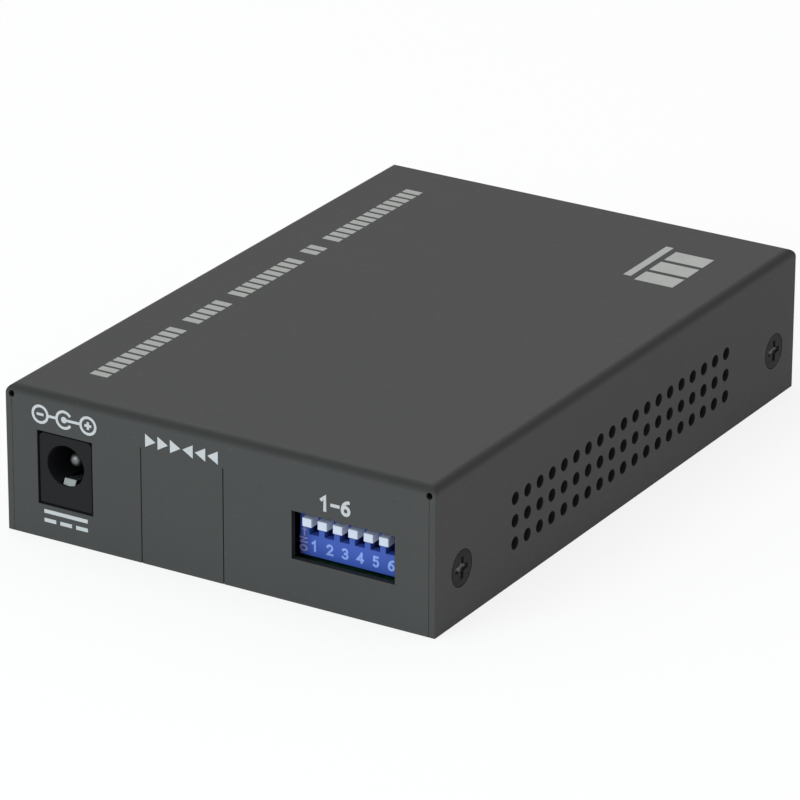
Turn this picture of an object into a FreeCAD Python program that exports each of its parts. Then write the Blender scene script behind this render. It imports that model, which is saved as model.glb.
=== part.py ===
import FreeCAD, Part
import os

# Fibre media converter, in millimetres. +Z is up and z = 0 is the surface that it stands on.
# The power end faces -Y, the port end faces +Y, and the origin is under the middle of the case.

# Case: a five-sided folded cover over a folded tray
case_width = 72.5
case_depth = 108.0
sheet = 1.0                 # steel sheet of the cover and the tray
bend_radius = 1.4           # outside of every fold
headroom = 3.0              # from the tallest port up to the cover
seam_width = 0.05           # open seam between a side wall and an end wall
relief_radius = 0.5         # round relief at the top of each seam
tray_gap = 0.15             # all round between the cover and the tray
lip_height = 3.5            # folded edges of the tray
ear_width = 11.5            # taller ends of those edges, which take the case screws
ear_above_screw = 3.8
ear_corner = 2.0
window_gap = 0.3            # round each connector in its window

# Side vents
vent_radius = 1.0
vent_columns = 19
vent_rows = 3
vent_pitch_along = 3.53
vent_pitch_up = 3.5
vent_middle_height = 9.7

# Case screws, countersunk M3
case_thread_radius = 1.5
case_head_radius = 2.8
case_head_land = 0.15       # thin straight rim of the head
case_screw_length = 5.0
case_screw_from_rear = 7.3
case_screw_from_front = 6.5
case_screw_height = 8.1
seat_gap = 0.05             # between a screw and what it passes through
screw_end_space = 0.65      # from a case screw's tip to the connector beside it

# Circuit board on pressed-in standoffs
board_thickness = 1.6
board_side_gap = 0.5        # to the tray's folded edges
board_end_gap = 1.0         # to the end walls
board_fixing_from_side = 7.65
standoff_height = 3.0
standoff_radius = 2.75
standoff_spigot_radius = 2.1
pan_head_radius = 2.8
pan_head_height = 1.9
pan_head_bevel = 0.6
board_screw_length = 4.2    # under its head
fixing_space = 1.2          # from a board screw's head to the connector beside it
lead_gap = 0.1              # round each lead in its hole in the board
lead_below_board = 0.8

# Power jack
jack_width = 9.0
jack_height = 11.0
jack_length = 14.2
jack_face_depth = 3.4       # square front of the housing
jack_corner = 0.8
jack_recess = 0.2           # of its face in the rear wall
jack_bore_radius = 3.2
jack_bore_depth = 9.5
jack_pin_radius = 1.0
jack_pin_recess = 2.1       # of its tip behind the face
jack_pin_dome = 0.85        # rounding of its tip, as a share of its radius
jack_terminal_width = 2.2
jack_terminal_sheet = 0.8
jack_spring_width = 2.0
jack_spring_sheet = 0.3
jack_spring_from_rear = 6.6
jack_spring_recess = 0.4    # of its slot behind the face
jack_spring_crown = 0.9     # highest point of its arch, from the front of the slot
jack_spring_rise = 0.6      # of the arch above the floor of the bore
jack_spring_sink = 0.8      # of the far end of the arch below that floor

# Knock-out flap in the rear wall and the backplane socket behind it
flap_center = -5.9
flap_width = 14.0
flap_height = 18.1
flap_cut = 0.15             # width of the cut along each side of the flap
socket_width = 11.5
socket_height = 8.5
socket_depth = 8.5
socket_from_wall = 1.2
socket_columns = 4
socket_hole = 1.2
socket_hole_depth = 6.0
socket_pitch = 2.54
near_lead_back = 1.2        # from a right-angle part's back to its near leads
far_lead_back = 3.4

# Six-way lever switch
switch_screw_space = 1.5    # from a case screw's tip to the housing
switch_ways = 6
switch_pitch = 2.54
switch_margin = 1.0         # housing beyond the outer levers' share of the pitch
switch_height = 9.9
switch_depth = 4.2
switch_recess = 2.5         # of its face behind the outside of the rear wall
switch_above_board = 1.05
switch_window_width = 17.1
switch_window_height = 7.45
switch_window_drop = 1.1    # from the middle of the housing down to the middle of the window
switch_front_wall = 1.2
switch_base_sheet = 1.0
switch_row_spacing = 7.62   # between the two rows of terminals
lever_width = 1.5
lever_height = 1.3
lever_travel = 2.0
lever_proud = 1.9
lever_gap = 0.05            # each side of a lever in its slot
lever_flange_side = 0.3     # flange beyond the lever on each side
lever_flange_sheet = 0.8
switch_spring_sheet = 0.2
switch_spring_width = 1.2
switch_spring_crown = 0.9   # flat top of the arch
switch_spring_span = 2.8    # between its feet
switch_spring_foot = 0.25

# LAN jack
lan_width = 15.9
lan_height = 13.4
lan_depth = 21.3
lan_shield_sheet = 0.3
lan_fit = 0.05              # between the insert and the shield
lan_mouth_width = 11.8
lan_mouth_height = 7.0
lan_mouth_depth = 12.5
lan_mouth_above_board = 3.7
lan_latch_width = 6.4
lan_latch_drop = 1.8
lan_contacts = 8
lan_contact_pitch = 1.02
lan_channel_height = 1.0
lan_contact_drop = 2.6      # of the contacts' free ends into the mouth
lan_contact_reach = 7.6     # of the free ends behind the fold
lan_contact_inset = 0.7     # of their upright ends from the shield's back
port_recess = 0.2           # of the ports' faces behind the front wall

# Duplex fibre transceiver
fibre_width = 25.4
fibre_height = 9.8
fibre_length = 39.0
fibre_nose_length = 13.7    # receptacle at the front
fibre_body_inset = 0.4      # of the body behind the receptacle
fibre_pitch = 12.7
fibre_mouth_width = 9.1
fibre_mouth_height = 7.5
fibre_mouth_depth = 12.0
fibre_key_width = 2.4
fibre_key_depth = 0.7
ferrule_outer_radius = 2.3
ferrule_bore_radius = 1.25
ferrule_length = 6.0
hook_sheet = 0.7
hook_height = 2.4
hook_length = 6.6
hook_catch = 0.6
fibre_pins = 9
pin_size = 0.5
pin_pitch = 2.54
pin_inset = 1.6             # of the row from the transceiver's back

# Status lights
light_columns = 3
light_rows = 2
light_radius = 1.5
light_pitch = 3.8
light_row_pitch = 5.4
light_above_board = 3.0
light_length = 6.5
light_bevel = 0.9
light_holder_depth = 6.5
light_holder_recess = 0.9   # behind the inside of the front wall
light_hole_gap = 0.2
light_lead_offset = 0.9
light_lead_step = 1.6       # of each row's leads behind the row below

# Parts on the board
chip_size = 14.0
chip_height = 1.4
chip_bevel = 0.2
chip_leads_per_side = 12
chip_lead_pitch = 1.0
chip_lead_width = 0.4
chip_lead_length = 1.2
chip_lead_under = 0.4
chip_x = -4.0
chip_y = 0.0
transformer_width = 15.0
transformer_depth = 9.6
transformer_height = 5.8
transformer_lead_columns = 6
transformer_lead_pitch = 2.0
transformer_lead_out = 0.8
transformer_lead_slope = 0.3
transformer_lead_foot = 0.8
transformer_space = 2.6     # behind the LAN jack
part_lift = 0.2             # chips and blocks above the board
crystal_length = 11.4
crystal_width = 4.6
crystal_height = 3.5
crystal_space = 3.0         # from the main chip
can_radius = 4.0
can_height = 11.5
can_columns = 3
can_space = 1.0
can_bevel = 0.5
power_row_space = 7.0       # from the board screws' heads to the middle of the row
inductor_radius = 4.5
inductor_height = 5.0
inductor_waist = 1.2
inductor_rim = 1.0
regulator_width = 6.6
regulator_depth = 6.1
regulator_height = 2.3
regulator_tab = 1.1
regulator_tab_sheet = 0.5
lead_sheet = 0.25
lead_width = 0.5


def spread(middle, pitch, count):
    return [middle + (i - (count - 1) / 2) * pitch for i in range(count)]


# Worked out from the sizes above
half_width = case_width / 2
half_depth = case_depth / 2
board_bottom = sheet + standoff_height
board_top = board_bottom + board_thickness
lead_end = board_bottom - lead_below_board
case_height = board_top + lan_height + headroom + sheet
rear_inside = sheet - half_depth
front_inside = half_depth - sheet
tray_half_width = half_width - sheet - tray_gap
tray_half_depth = half_depth - sheet - tray_gap
board_half_width = tray_half_width - sheet - board_side_gap
case_screw_ys = (case_screw_from_rear - half_depth, half_depth - case_screw_from_front)
screw_tip_x = half_width - case_screw_length
jack_x = -screw_tip_x + screw_end_space + jack_width / 2
jack_front = -half_depth + jack_recess
jack_rear = jack_front + jack_length
jack_axis = board_top + jack_height - jack_width / 2
jack_spring_y = jack_rear - jack_spring_from_rear
socket_front = rear_inside + socket_from_wall
socket_rear = socket_front + socket_depth
socket_middle = board_top + socket_height / 2
socket_terminal_rows = [
    (near_lead_back, socket_middle - socket_pitch / 2),
    (far_lead_back, socket_middle + socket_pitch / 2),
]
switch_face = -half_depth + switch_recess
switch_middle = board_top + switch_above_board + switch_height / 2
switch_length = switch_ways * switch_pitch + 2 * switch_margin
switch_x = screw_tip_x - switch_screw_space - switch_length / 2
switch_back = switch_face + switch_depth
switch_rear = switch_back + switch_base_sheet
switch_terminal_rows = [
    (near_lead_back, switch_middle - switch_row_spacing / 2),
    (far_lead_back, switch_middle + switch_row_spacing / 2),
]
lever_middle = switch_middle + lever_travel / 2
lever_back = switch_face + switch_front_wall + lever_gap + lever_flange_sheet
lever_xs = spread(switch_x, switch_pitch, switch_ways)
port_face = front_inside - port_recess
lan_rear = port_face - lan_depth
lan_contact_y = lan_rear + lan_shield_sheet + lan_contact_inset
lan_mouth_bottom = board_top + lan_mouth_above_board
lan_mouth_top = lan_mouth_bottom + lan_mouth_height
fibre_x = screw_tip_x - screw_end_space - fibre_width / 2
fibre_rear = port_face - fibre_length
fibre_pin_y = fibre_rear + pin_inset
fibre_mouth_bottom = board_top + (fibre_height - fibre_mouth_height) / 2
light_holder_width = light_columns * light_pitch
light_x = -screw_tip_x + screw_end_space + light_holder_width / 2
lan_x = (light_x + light_holder_width / 2 + fibre_x - fibre_width / 2) / 2
light_holder_front = front_inside - light_holder_recess
light_holder_rear = light_holder_front - light_holder_depth
light_back = light_holder_rear + sheet
light_lead_backs = [light_lead_step * (row + 1) for row in range(light_rows)]
light_xs = spread(light_x, light_pitch, light_columns)
light_lead_xs = [x + side * light_lead_offset for x in light_xs for side in (-1, 1)]
fixing_x = half_width - board_fixing_from_side
fixings = [
    (-fixing_x, jack_rear + fixing_space + pan_head_radius),
    (fixing_x, jack_rear + fixing_space + pan_head_radius),
    (-fixing_x, light_back - light_lead_backs[-1] - fixing_space - pan_head_radius),
    (fixing_x, fibre_rear - fixing_space - pan_head_radius),
]

power_y = fixings[0][1] + pan_head_radius + power_row_space
can_pitch = 2 * can_radius + can_space
can_x = flap_center
inductor_x = can_x - can_columns * can_pitch / 2 - can_space / 2 - inductor_radius
regulator_x = fixing_x - regulator_width
transformer_y = lan_rear - transformer_space - transformer_depth / 2
crystal_x = chip_x + chip_size / 2 + crystal_space + crystal_length / 2

V = FreeCAD.Vector
X = V(1, 0, 0)
Y = V(0, 1, 0)
Z = V(0, 0, 1)


def block(x0, x1, y0, y1, z0, z1):
    return Part.makeBox(x1 - x0, y1 - y0, z1 - z0, V(x0, y0, z0))


def centered_block(x, width, y0, y1, z0, z1):
    return block(x - width / 2, x + width / 2, y0, y1, z0, z1)


def rod(radius, length, start, direction):
    return Part.makeCylinder(radius, length, start, direction)


def joined(shapes):
    return shapes[0].fuse(shapes[1:]).removeSplitter()


# Straight edges along one direction whose ends pass a test
def edges_at(shape, direction, test):
    chosen = []
    for edge in shape.Edges:
        ends = [v.Point for v in edge.Vertexes]
        if len(ends) == 2 and (ends[1] - ends[0]).cross(direction).Length < 1e-6:
            if test(ends[0]) and test(ends[1]):
                chosen.append(edge)
    return chosen


def near(a, b):
    return abs(a - b) < 1e-6


# A bent flat strip: its middle line runs through (y, z) points, and its width lies along X
def strip(path, thickness, width, x):
    points = [V(x - width / 2, y, z) for y, z in path]
    runs = [(b - a).normalize() for a, b in zip(points, points[1:])]
    left = []
    right = []
    for i, point in enumerate(points):
        before = runs[max(i - 1, 0)]
        after = runs[min(i, len(runs) - 1)]
        normal = V(0, -before.z - after.z, before.y + after.y)
        offset = normal * (thickness / normal.dot(normal))
        left.append(point + offset)
        right.append(point - offset)
    outline = left + right[::-1] + [left[0]]
    return Part.Face(Part.makePolygon(outline)).extrude(X * width)


# A lead through the board: its hole has lead_gap all round
def lead_hole(x, y, width, thickness):
    half = thickness / 2 + lead_gap
    return centered_block(x, width + 2 * lead_gap, y - half, y + half, board_bottom, board_top)


def rounded_top_box(half_x, half_y, height, radius):
    box = block(-half_x, half_x, -half_y, half_y, 0, height)
    rims = edges_at(box, X, lambda p: near(p.z, height)) + edges_at(box, Y, lambda p: near(p.z, height))
    return box.makeFillet(radius, rims)


# Straight rim, 90 degree cone and thread hole of a case screw, grown by a gap
def screw_seat(side, y, gap):
    surface = V(side * half_width, y, case_screw_height)
    inward = X * -side
    radius = case_head_radius + gap
    rim = rod(radius, case_head_land + sheet, surface - inward * sheet, inward)
    cone_top = surface + inward * case_head_land
    cone = Part.makeCone(radius, case_thread_radius, radius - case_thread_radius, cone_top, inward)
    hole = rod(case_thread_radius, 3 * sheet, surface, inward)
    return joined([rim, cone, hole])


def screw_seats():
    return [screw_seat(side, y, seat_gap) for side in (-1, 1) for y in case_screw_ys]


def top_cover():
    outer = rounded_top_box(half_width, half_depth, case_height, bend_radius)
    inner = rounded_top_box(half_width - sheet, half_depth - sheet, case_height - sheet, bend_radius - sheet)
    cuts = [inner] + corner_cuts() + screw_seats() + rear_windows() + front_windows()
    for y in spread(0, vent_pitch_along, vent_columns):
        for z in spread(vent_middle_height, vent_pitch_up, vent_rows):
            cuts.append(rod(vent_radius, case_width + 2 * sheet, V(-half_width - sheet, y, z), X))
    return outer.cut(cuts)


# An open seam and a round relief at each upright corner, in the end walls
def corner_cuts():
    seam_x = half_width - sheet - seam_width / 2
    relief_z = case_height - bend_radius
    cuts = []
    for side in (-1, 1):
        for outside, inside in ((-half_depth, rear_inside), (front_inside, half_depth)):
            cuts.append(centered_block(side * seam_x, seam_width, outside, inside, 0, relief_z))
            cuts.append(rod(relief_radius, sheet, V(side * seam_x, outside, relief_z), Y))
    return cuts


def window(x, width, ends, bottom, top):
    return centered_block(x, width + 2 * window_gap, ends[0], ends[1], bottom - window_gap, top + window_gap)


def rear_windows():
    wall = (-half_depth, rear_inside)
    window_middle = switch_middle - switch_window_drop
    cuts = [
        window(jack_x, jack_width, wall, board_top, board_top + jack_height),
        centered_block(switch_x, switch_window_width, wall[0], wall[1],
                       window_middle - switch_window_height / 2, window_middle + switch_window_height / 2),
    ]
    for side in (-1, 1):
        x = flap_center + side * flap_width / 2
        cuts.append(centered_block(x, flap_cut, wall[0], wall[1], 0, flap_height))
    return cuts


def front_windows():
    wall = (front_inside, half_depth)
    cuts = [
        window(lan_x, lan_width, wall, board_top, board_top + lan_height),
        window(fibre_x, fibre_width, wall, board_top, board_top + fibre_height),
    ]
    for x, z in light_places():
        cuts.append(rod(light_radius + light_hole_gap, sheet, V(x, front_inside, z), Y))
    return cuts


def light_places():
    first_row = board_top + light_above_board
    rows = [first_row + i * light_row_pitch for i in range(light_rows)]
    return [(x, z) for x in light_xs for z in rows]


# One folded channel, with its edges cut down between the ears
def base_tray():
    ear_top = case_screw_height + ear_above_screw
    inner_x = tray_half_width - sheet
    outer = block(-tray_half_width, tray_half_width, -tray_half_depth, tray_half_depth, 0, ear_top)
    outer = outer.makeFillet(bend_radius, edges_at(outer, Y, lambda p: near(p.z, 0)))
    inner = block(-inner_x, inner_x, -half_depth, half_depth, sheet, case_height)
    inner = inner.makeFillet(bend_radius - sheet, edges_at(inner, Y, lambda p: near(p.z, sheet)))
    ear_inner_y = tray_half_depth - ear_width
    between = block(-half_width, half_width, -ear_inner_y, ear_inner_y, lip_height, case_height)
    tray = outer.cut([inner, between])
    tray = tray.makeFillet(ear_corner, edges_at(tray, X, lambda p: near(p.z, ear_top)))
    holes = [rod(standoff_spigot_radius, sheet, V(x, y, 0), Z) for x, y in fixings]
    return tray.cut(screw_seats() + holes)


def case_screws():
    screws = []
    for side in (-1, 1):
        for y in case_screw_ys:
            surface = V(side * half_width, y, case_screw_height)
            inward = X * -side
            shank = case_thread_radius - seat_gap
            rim = rod(case_head_radius, case_head_land, surface, inward)
            cone = Part.makeCone(case_head_radius, shank, case_head_radius - shank,
                                 surface + inward * case_head_land, inward)
            screws.append(joined([rim, cone, rod(shank, case_screw_length, surface, inward)]))
    return Part.makeCompound(screws)


def board_standoffs():
    standoffs = []
    for x, y in fixings:
        body = rod(standoff_radius, standoff_height, V(x, y, sheet), Z)
        spigot = rod(standoff_spigot_radius - seat_gap, sheet, V(x, y, 0), Z)
        thread = rod(case_thread_radius, board_bottom, V(x, y, 0), Z)
        standoffs.append(joined([body, spigot]).cut(thread))
    return Part.makeCompound(standoffs)


def board_screws():
    screws = []
    for x, y in fixings:
        head = rod(pan_head_radius, pan_head_height, V(x, y, board_top), Z)
        top = [edge for edge in head.Edges if near(edge.CenterOfMass.z, board_top + pan_head_height)]
        head = head.makeChamfer(pan_head_bevel, top)
        start = V(x, y, board_top - board_screw_length)
        shank = rod(case_thread_radius - seat_gap, board_screw_length, start, Z)
        screws.append(joined([head, shank]))
    return Part.makeCompound(screws)


def circuit_board():
    front = port_face
    rear = rear_inside + board_end_gap
    board = block(-board_half_width, board_half_width, rear, front - board_end_gap, board_bottom, board_top)
    holes = [rod(case_thread_radius, board_thickness, V(x, y, board_bottom), Z) for x, y in fixings]
    return board.cut(holes + lead_holes())


def lead_holes():
    holes = [
        lead_hole(jack_x, jack_rear + jack_terminal_sheet / 2, jack_terminal_width, jack_terminal_sheet),
        lead_hole(jack_x, jack_spring_y, jack_spring_width, jack_spring_sheet),
    ]
    for x in lever_xs:
        for back, _ in switch_terminal_rows:
            holes.append(lead_hole(x, switch_rear + back, lead_width, lead_sheet))
    for x in spread(flap_center, socket_pitch, socket_columns):
        for back, _ in socket_terminal_rows:
            holes.append(lead_hole(x, socket_rear + back, lead_width, lead_sheet))
    for x in spread(fibre_x, pin_pitch, fibre_pins):
        holes.append(lead_hole(x, fibre_pin_y, pin_size, pin_size))
    lan_slot = lan_contact_pitch * (lan_contacts - 1) + lead_width
    holes.append(lead_hole(lan_x, lan_contact_y, lan_slot, lead_sheet))
    for x in light_lead_xs:
        for row in range(light_rows):
            holes.append(lead_hole(x, light_back - light_lead_backs[row], lead_width, lead_sheet))
    return holes


# Square face, and a barrel behind it with a round top
def jack_housing():
    top = board_top + jack_height
    face = centered_block(jack_x, jack_width, jack_front, jack_front + jack_face_depth, board_top, top)
    face = face.makeFillet(jack_corner, edges_at(face, Y, lambda p: near(p.z, top)))
    foot = centered_block(jack_x, jack_width, jack_front + jack_face_depth, jack_rear, board_top, jack_axis)
    axis = V(jack_x, jack_front, jack_axis)
    barrel = rod(jack_width / 2, jack_length - jack_face_depth, axis + Y * jack_face_depth, Y)
    bore = rod(jack_bore_radius, jack_bore_depth, axis, Y)
    pin_hole = rod(jack_pin_radius + seat_gap, jack_length, axis, Y)
    slot_width = jack_spring_width + 2 * window_gap
    spring_slot = centered_block(jack_x, slot_width, jack_front + jack_spring_recess,
                                 jack_spring_y + sheet, board_top, jack_axis - jack_bore_radius / 2)
    return joined([face, foot, barrel]).cut([bore, pin_hole, spring_slot])


def jack_pin():
    start = jack_front + jack_pin_recess
    pin = rod(jack_pin_radius, jack_rear - start, V(jack_x, start, jack_axis), Y)
    tip = [edge for edge in pin.Edges if near(edge.CenterOfMass.y, start)]
    pin = pin.makeFillet(jack_pin_dome * jack_pin_radius, tip)
    tab = centered_block(jack_x, jack_terminal_width, jack_rear, jack_rear + jack_terminal_sheet,
                         lead_end, jack_axis + jack_pin_radius)
    return joined([pin, tab])


def jack_spring():
    floor = jack_axis - jack_bore_radius
    front = jack_front + jack_spring_recess
    path = [
        (front + jack_spring_sheet, floor - jack_spring_sink / 2),
        (front + jack_spring_crown, floor + jack_spring_rise),
        (jack_spring_y - jack_spring_sink, floor - jack_spring_sink),
        (jack_spring_y, floor - 2 * jack_spring_sink),
        (jack_spring_y, lead_end),
    ]
    return strip(path, jack_spring_sheet, jack_spring_width, jack_x)


def switch_housing():
    body = centered_block(switch_x, switch_length, switch_face, switch_back,
                          switch_middle - switch_height / 2, switch_middle + switch_height / 2)
    half_slot = (lever_height + lever_travel) / 2 + lever_gap
    half_pocket = half_slot + lever_flange_side
    slot_width = lever_width + 2 * lever_gap
    pocket_front = switch_face + switch_front_wall
    cuts = []
    for x in lever_xs:
        cuts.append(centered_block(x, slot_width, switch_face, pocket_front,
                                   switch_middle - half_slot, switch_middle + half_slot))
        cuts.append(centered_block(x, slot_width + 2 * lever_flange_side, pocket_front, switch_back,
                                   switch_middle - half_pocket, switch_middle + half_pocket))
    return body.cut(cuts)


def switch_lever(x):
    bottom = lever_middle - lever_height / 2
    top = lever_middle + lever_height / 2
    flange_front = switch_face + switch_front_wall + lever_gap
    knob = centered_block(x, lever_width, switch_face - lever_proud, flange_front, bottom, top)
    flange = centered_block(x, lever_width + 2 * lever_flange_side, flange_front, lever_back,
                            bottom - lever_flange_side, top + lever_flange_side)
    return joined([knob, flange])


def switch_base():
    return centered_block(switch_x, switch_length, switch_back, switch_rear,
                          switch_middle - switch_height / 2, switch_middle + switch_height / 2)


# One arched wiper behind each lever
def switch_springs():
    foot = switch_back - switch_spring_sheet / 2
    crown = lever_back + lever_gap + switch_spring_sheet / 2
    half_span = switch_spring_span / 2
    path = [
        (foot, switch_middle - half_span - switch_spring_foot),
        (foot, switch_middle - half_span),
        (crown, switch_middle - switch_spring_crown / 2),
        (crown, switch_middle + switch_spring_crown / 2),
        (foot, switch_middle + half_span),
        (foot, switch_middle + half_span + switch_spring_foot),
    ]
    springs = [strip(path, switch_spring_sheet, switch_spring_width, x) for x in lever_xs]
    return Part.makeCompound(springs)


# Leads from the back of a right-angle part, bent down through the board
def bent_leads(xs, start, rows):
    leads = []
    for back, height in rows:
        path = [(start, height), (start + back, height), (start + back, lead_end)]
        leads += [strip(path, lead_sheet, lead_width, x) for x in xs]
    return Part.makeCompound(leads)


def backplane_socket():
    body = centered_block(flap_center, socket_width, socket_front, socket_rear,
                          board_top, board_top + socket_height)
    half_hole = socket_hole / 2
    holes = []
    for x in spread(flap_center, socket_pitch, socket_columns):
        for _, z in socket_terminal_rows:
            holes.append(centered_block(x, socket_hole, socket_front, socket_front + socket_hole_depth,
                                        z - half_hole, z + half_hole))
    return body.cut(holes)


def lan_insert():
    inset = lan_shield_sheet + lan_fit
    top = board_top + lan_height - inset
    body = centered_block(lan_x, lan_width - 2 * inset, lan_rear + inset, port_face, board_top, top)
    mouth_rear = port_face - lan_mouth_depth
    mouth = centered_block(lan_x, lan_mouth_width, mouth_rear, port_face, lan_mouth_bottom, lan_mouth_top)
    latch = centered_block(lan_x, lan_latch_width, mouth_rear, port_face,
                           lan_mouth_bottom - lan_latch_drop, lan_mouth_bottom)
    comb = lan_contact_pitch * lan_contacts
    channel = centered_block(lan_x, comb, lan_rear + inset, port_face - sheet,
                             lan_mouth_top, lan_mouth_top + lan_channel_height)
    drop = centered_block(lan_x, comb, lan_rear + inset, lan_contact_y + sheet, board_top, lan_mouth_top)
    return body.cut([mouth, latch, channel, drop])


def lan_shield():
    top = board_top + lan_height
    outer = centered_block(lan_x, lan_width, lan_rear, port_face, board_top, top)
    inner = centered_block(lan_x, lan_width - 2 * lan_shield_sheet, lan_rear + lan_shield_sheet, port_face,
                           board_top, top - lan_shield_sheet)
    return outer.cut(inner)


def lan_contact_row():
    run = lan_mouth_top + lan_channel_height / 2
    fold = port_face - sheet - 3 * lead_sheet
    path = [
        (fold - lan_contact_reach, lan_mouth_top - lan_contact_drop),
        (fold, run - 3 * lead_sheet),
        (fold + lead_sheet, run - lead_sheet),
        (fold, run),
        (lan_contact_y, run),
        (lan_contact_y, lead_end),
    ]
    xs = spread(lan_x, lan_contact_pitch, lan_contacts)
    return Part.makeCompound([strip(path, lead_sheet, lead_width, x) for x in xs])


def fibre_housing():
    nose_rear = port_face - fibre_nose_length
    top = board_top + fibre_height
    nose = centered_block(fibre_x, fibre_width, nose_rear, port_face, board_top, top)
    body = centered_block(fibre_x, fibre_width - 2 * fibre_body_inset, fibre_rear, nose_rear,
                          board_top, top - fibre_body_inset)
    mouth_rear = port_face - fibre_mouth_depth
    mouth_top = fibre_mouth_bottom + fibre_mouth_height
    cuts = []
    for x in spread(fibre_x, fibre_pitch, 2):
        cuts.append(centered_block(x, fibre_mouth_width, mouth_rear, port_face,
                                   fibre_mouth_bottom, mouth_top))
        cuts.append(centered_block(x, fibre_key_width, mouth_rear, port_face,
                                   mouth_top, mouth_top + fibre_key_depth))
    return joined([nose, body]).cut(cuts)


def ferrule_sleeves():
    middle = fibre_mouth_bottom + fibre_mouth_height / 2
    sleeves = []
    for x in spread(fibre_x, fibre_pitch, 2):
        start = V(x, port_face - fibre_mouth_depth, middle)
        tube = rod(ferrule_outer_radius, ferrule_length, start, Y)
        sleeves.append(tube.cut(rod(ferrule_bore_radius, ferrule_length, start, Y)))
    return Part.makeCompound(sleeves)


# Two sprung arms beside each sleeve, with a catch at the tip that points at the sleeve
def latch_hooks():
    middle = fibre_mouth_bottom + fibre_mouth_height / 2
    rear = port_face - fibre_mouth_depth
    hooks = []
    for x in spread(fibre_x, fibre_pitch, 2):
        for side in (-1, 1):
            outer = x + side * (fibre_mouth_width / 2 - seat_gap)
            arm = V(outer, rear, middle - hook_height / 2)
            tip = rear + hook_length
            inner = -side * hook_sheet
            profile = [
                arm,
                arm + V(inner, 0, 0),
                arm + V(inner, hook_length - 2 * hook_catch, 0),
                arm + V(inner - side * hook_catch, hook_length - hook_catch, 0),
                V(outer, tip, arm.z),
                arm,
            ]
            hooks.append(Part.Face(Part.makePolygon(profile)).extrude(Z * hook_height))
    return Part.makeCompound(hooks)


def fibre_pin_row():
    half = pin_size / 2
    pins = []
    for x in spread(fibre_x, pin_pitch, fibre_pins):
        pins.append(centered_block(x, pin_size, fibre_pin_y - half, fibre_pin_y + half, lead_end, board_top))
    return Part.makeCompound(pins)


def light_holder():
    top = board_top + light_above_board + (light_rows - 1 / 2) * light_row_pitch
    body = centered_block(light_x, light_holder_width, light_holder_rear, light_holder_front, board_top, top)
    bores = [rod(light_radius + seat_gap, light_holder_depth, V(x, light_holder_rear, z), Y)
             for x, z in light_places()]
    return body.cut(bores)


def status_lights():
    lights = []
    for x, z in light_places():
        tip_y = light_back + light_length
        light = rod(light_radius, light_length, V(x, light_back, z), Y)
        rim = [edge for edge in light.Edges if near(edge.CenterOfMass.y, tip_y)]
        lights.append(light.makeChamfer(light_bevel, rim))
    return Part.makeCompound(lights)


def light_leads():
    leads = []
    for x in light_lead_xs:
        for row in range(light_rows):
            z = board_top + light_above_board + row * light_row_pitch
            y = light_back - light_lead_backs[row]
            leads.append(strip([(light_back, z), (y, z), (y, lead_end)], lead_sheet, lead_width, x))
    return Part.makeCompound(leads)


def main_chip():
    half = chip_size / 2
    bottom = board_top + part_lift
    body = block(chip_x - half, chip_x + half, chip_y - half, chip_y + half, bottom, bottom + chip_height)
    top = bottom + chip_height
    rims = edges_at(body, X, lambda p: near(p.z, top)) + edges_at(body, Y, lambda p: near(p.z, top))
    return body.makeChamfer(chip_bevel, rims)


def main_chip_leads():
    half = chip_size / 2
    top = board_top + part_lift
    leads = []
    for along in spread(0, chip_lead_pitch, chip_leads_per_side):
        for side in (-1, 1):
            a, b = sorted((side * (half - chip_lead_under), side * (half + chip_lead_length)))
            c, d = along - chip_lead_width / 2, along + chip_lead_width / 2
            leads.append(block(chip_x + a, chip_x + b, chip_y + c, chip_y + d, board_top, top))
            leads.append(block(chip_x + c, chip_x + d, chip_y + a, chip_y + b, board_top, top))
    return Part.makeCompound(leads)


def lan_transformer():
    bottom = board_top + part_lift
    return centered_block(lan_x, transformer_width, transformer_y - transformer_depth / 2,
                          transformer_y + transformer_depth / 2, bottom, bottom + transformer_height)


def lan_transformer_leads():
    foot = board_top + lead_sheet / 2
    leads = []
    for side in (-1, 1):
        start = transformer_y + side * transformer_depth / 2
        height = board_top + transformer_height / 2
        knee = start + side * transformer_lead_out
        heel = knee + side * transformer_lead_slope
        path = [(start, height), (knee, height), (heel, foot), (heel + side * transformer_lead_foot, foot)]
        for x in spread(lan_x, transformer_lead_pitch, transformer_lead_columns):
            leads.append(strip(path, lead_sheet, lead_width, x))
    return Part.makeCompound(leads)


def clock_crystal():
    bottom = board_top + part_lift
    radius = crystal_width / 2
    half = crystal_length / 2 - radius
    middle = block(crystal_x - half, crystal_x + half, chip_y - radius, chip_y + radius,
                   bottom, bottom + crystal_height)
    ends = [rod(radius, crystal_height, V(crystal_x + side * half, chip_y, bottom), Z) for side in (-1, 1)]
    return joined([middle] + ends)


def capacitor_cans():
    cans = []
    for x in spread(can_x, can_pitch, can_columns):
        can = rod(can_radius, can_height, V(x, power_y, board_top), Z)
        rim = [edge for edge in can.Edges if near(edge.CenterOfMass.z, board_top + can_height)]
        cans.append(can.makeChamfer(can_bevel, rim))
    return Part.makeCompound(cans)


# Drum core: two flanges and a wound waist
def power_inductor():
    start = V(inductor_x, power_y, board_top)
    waist = rod(inductor_radius - inductor_waist, inductor_height, start, Z)
    lifts = (0, inductor_height - inductor_rim)
    rims = [rod(inductor_radius, inductor_rim, start + Z * lift, Z) for lift in lifts]
    return joined([waist] + rims)


def voltage_regulator():
    rear = power_y - regulator_depth / 2
    front = power_y + regulator_depth / 2
    body = centered_block(regulator_x, regulator_width, rear, front, board_top, board_top + regulator_height)
    tab = centered_block(regulator_x, regulator_width, front, front + regulator_tab,
                         board_top, board_top + regulator_tab_sheet)
    return joined([body, tab])


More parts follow.
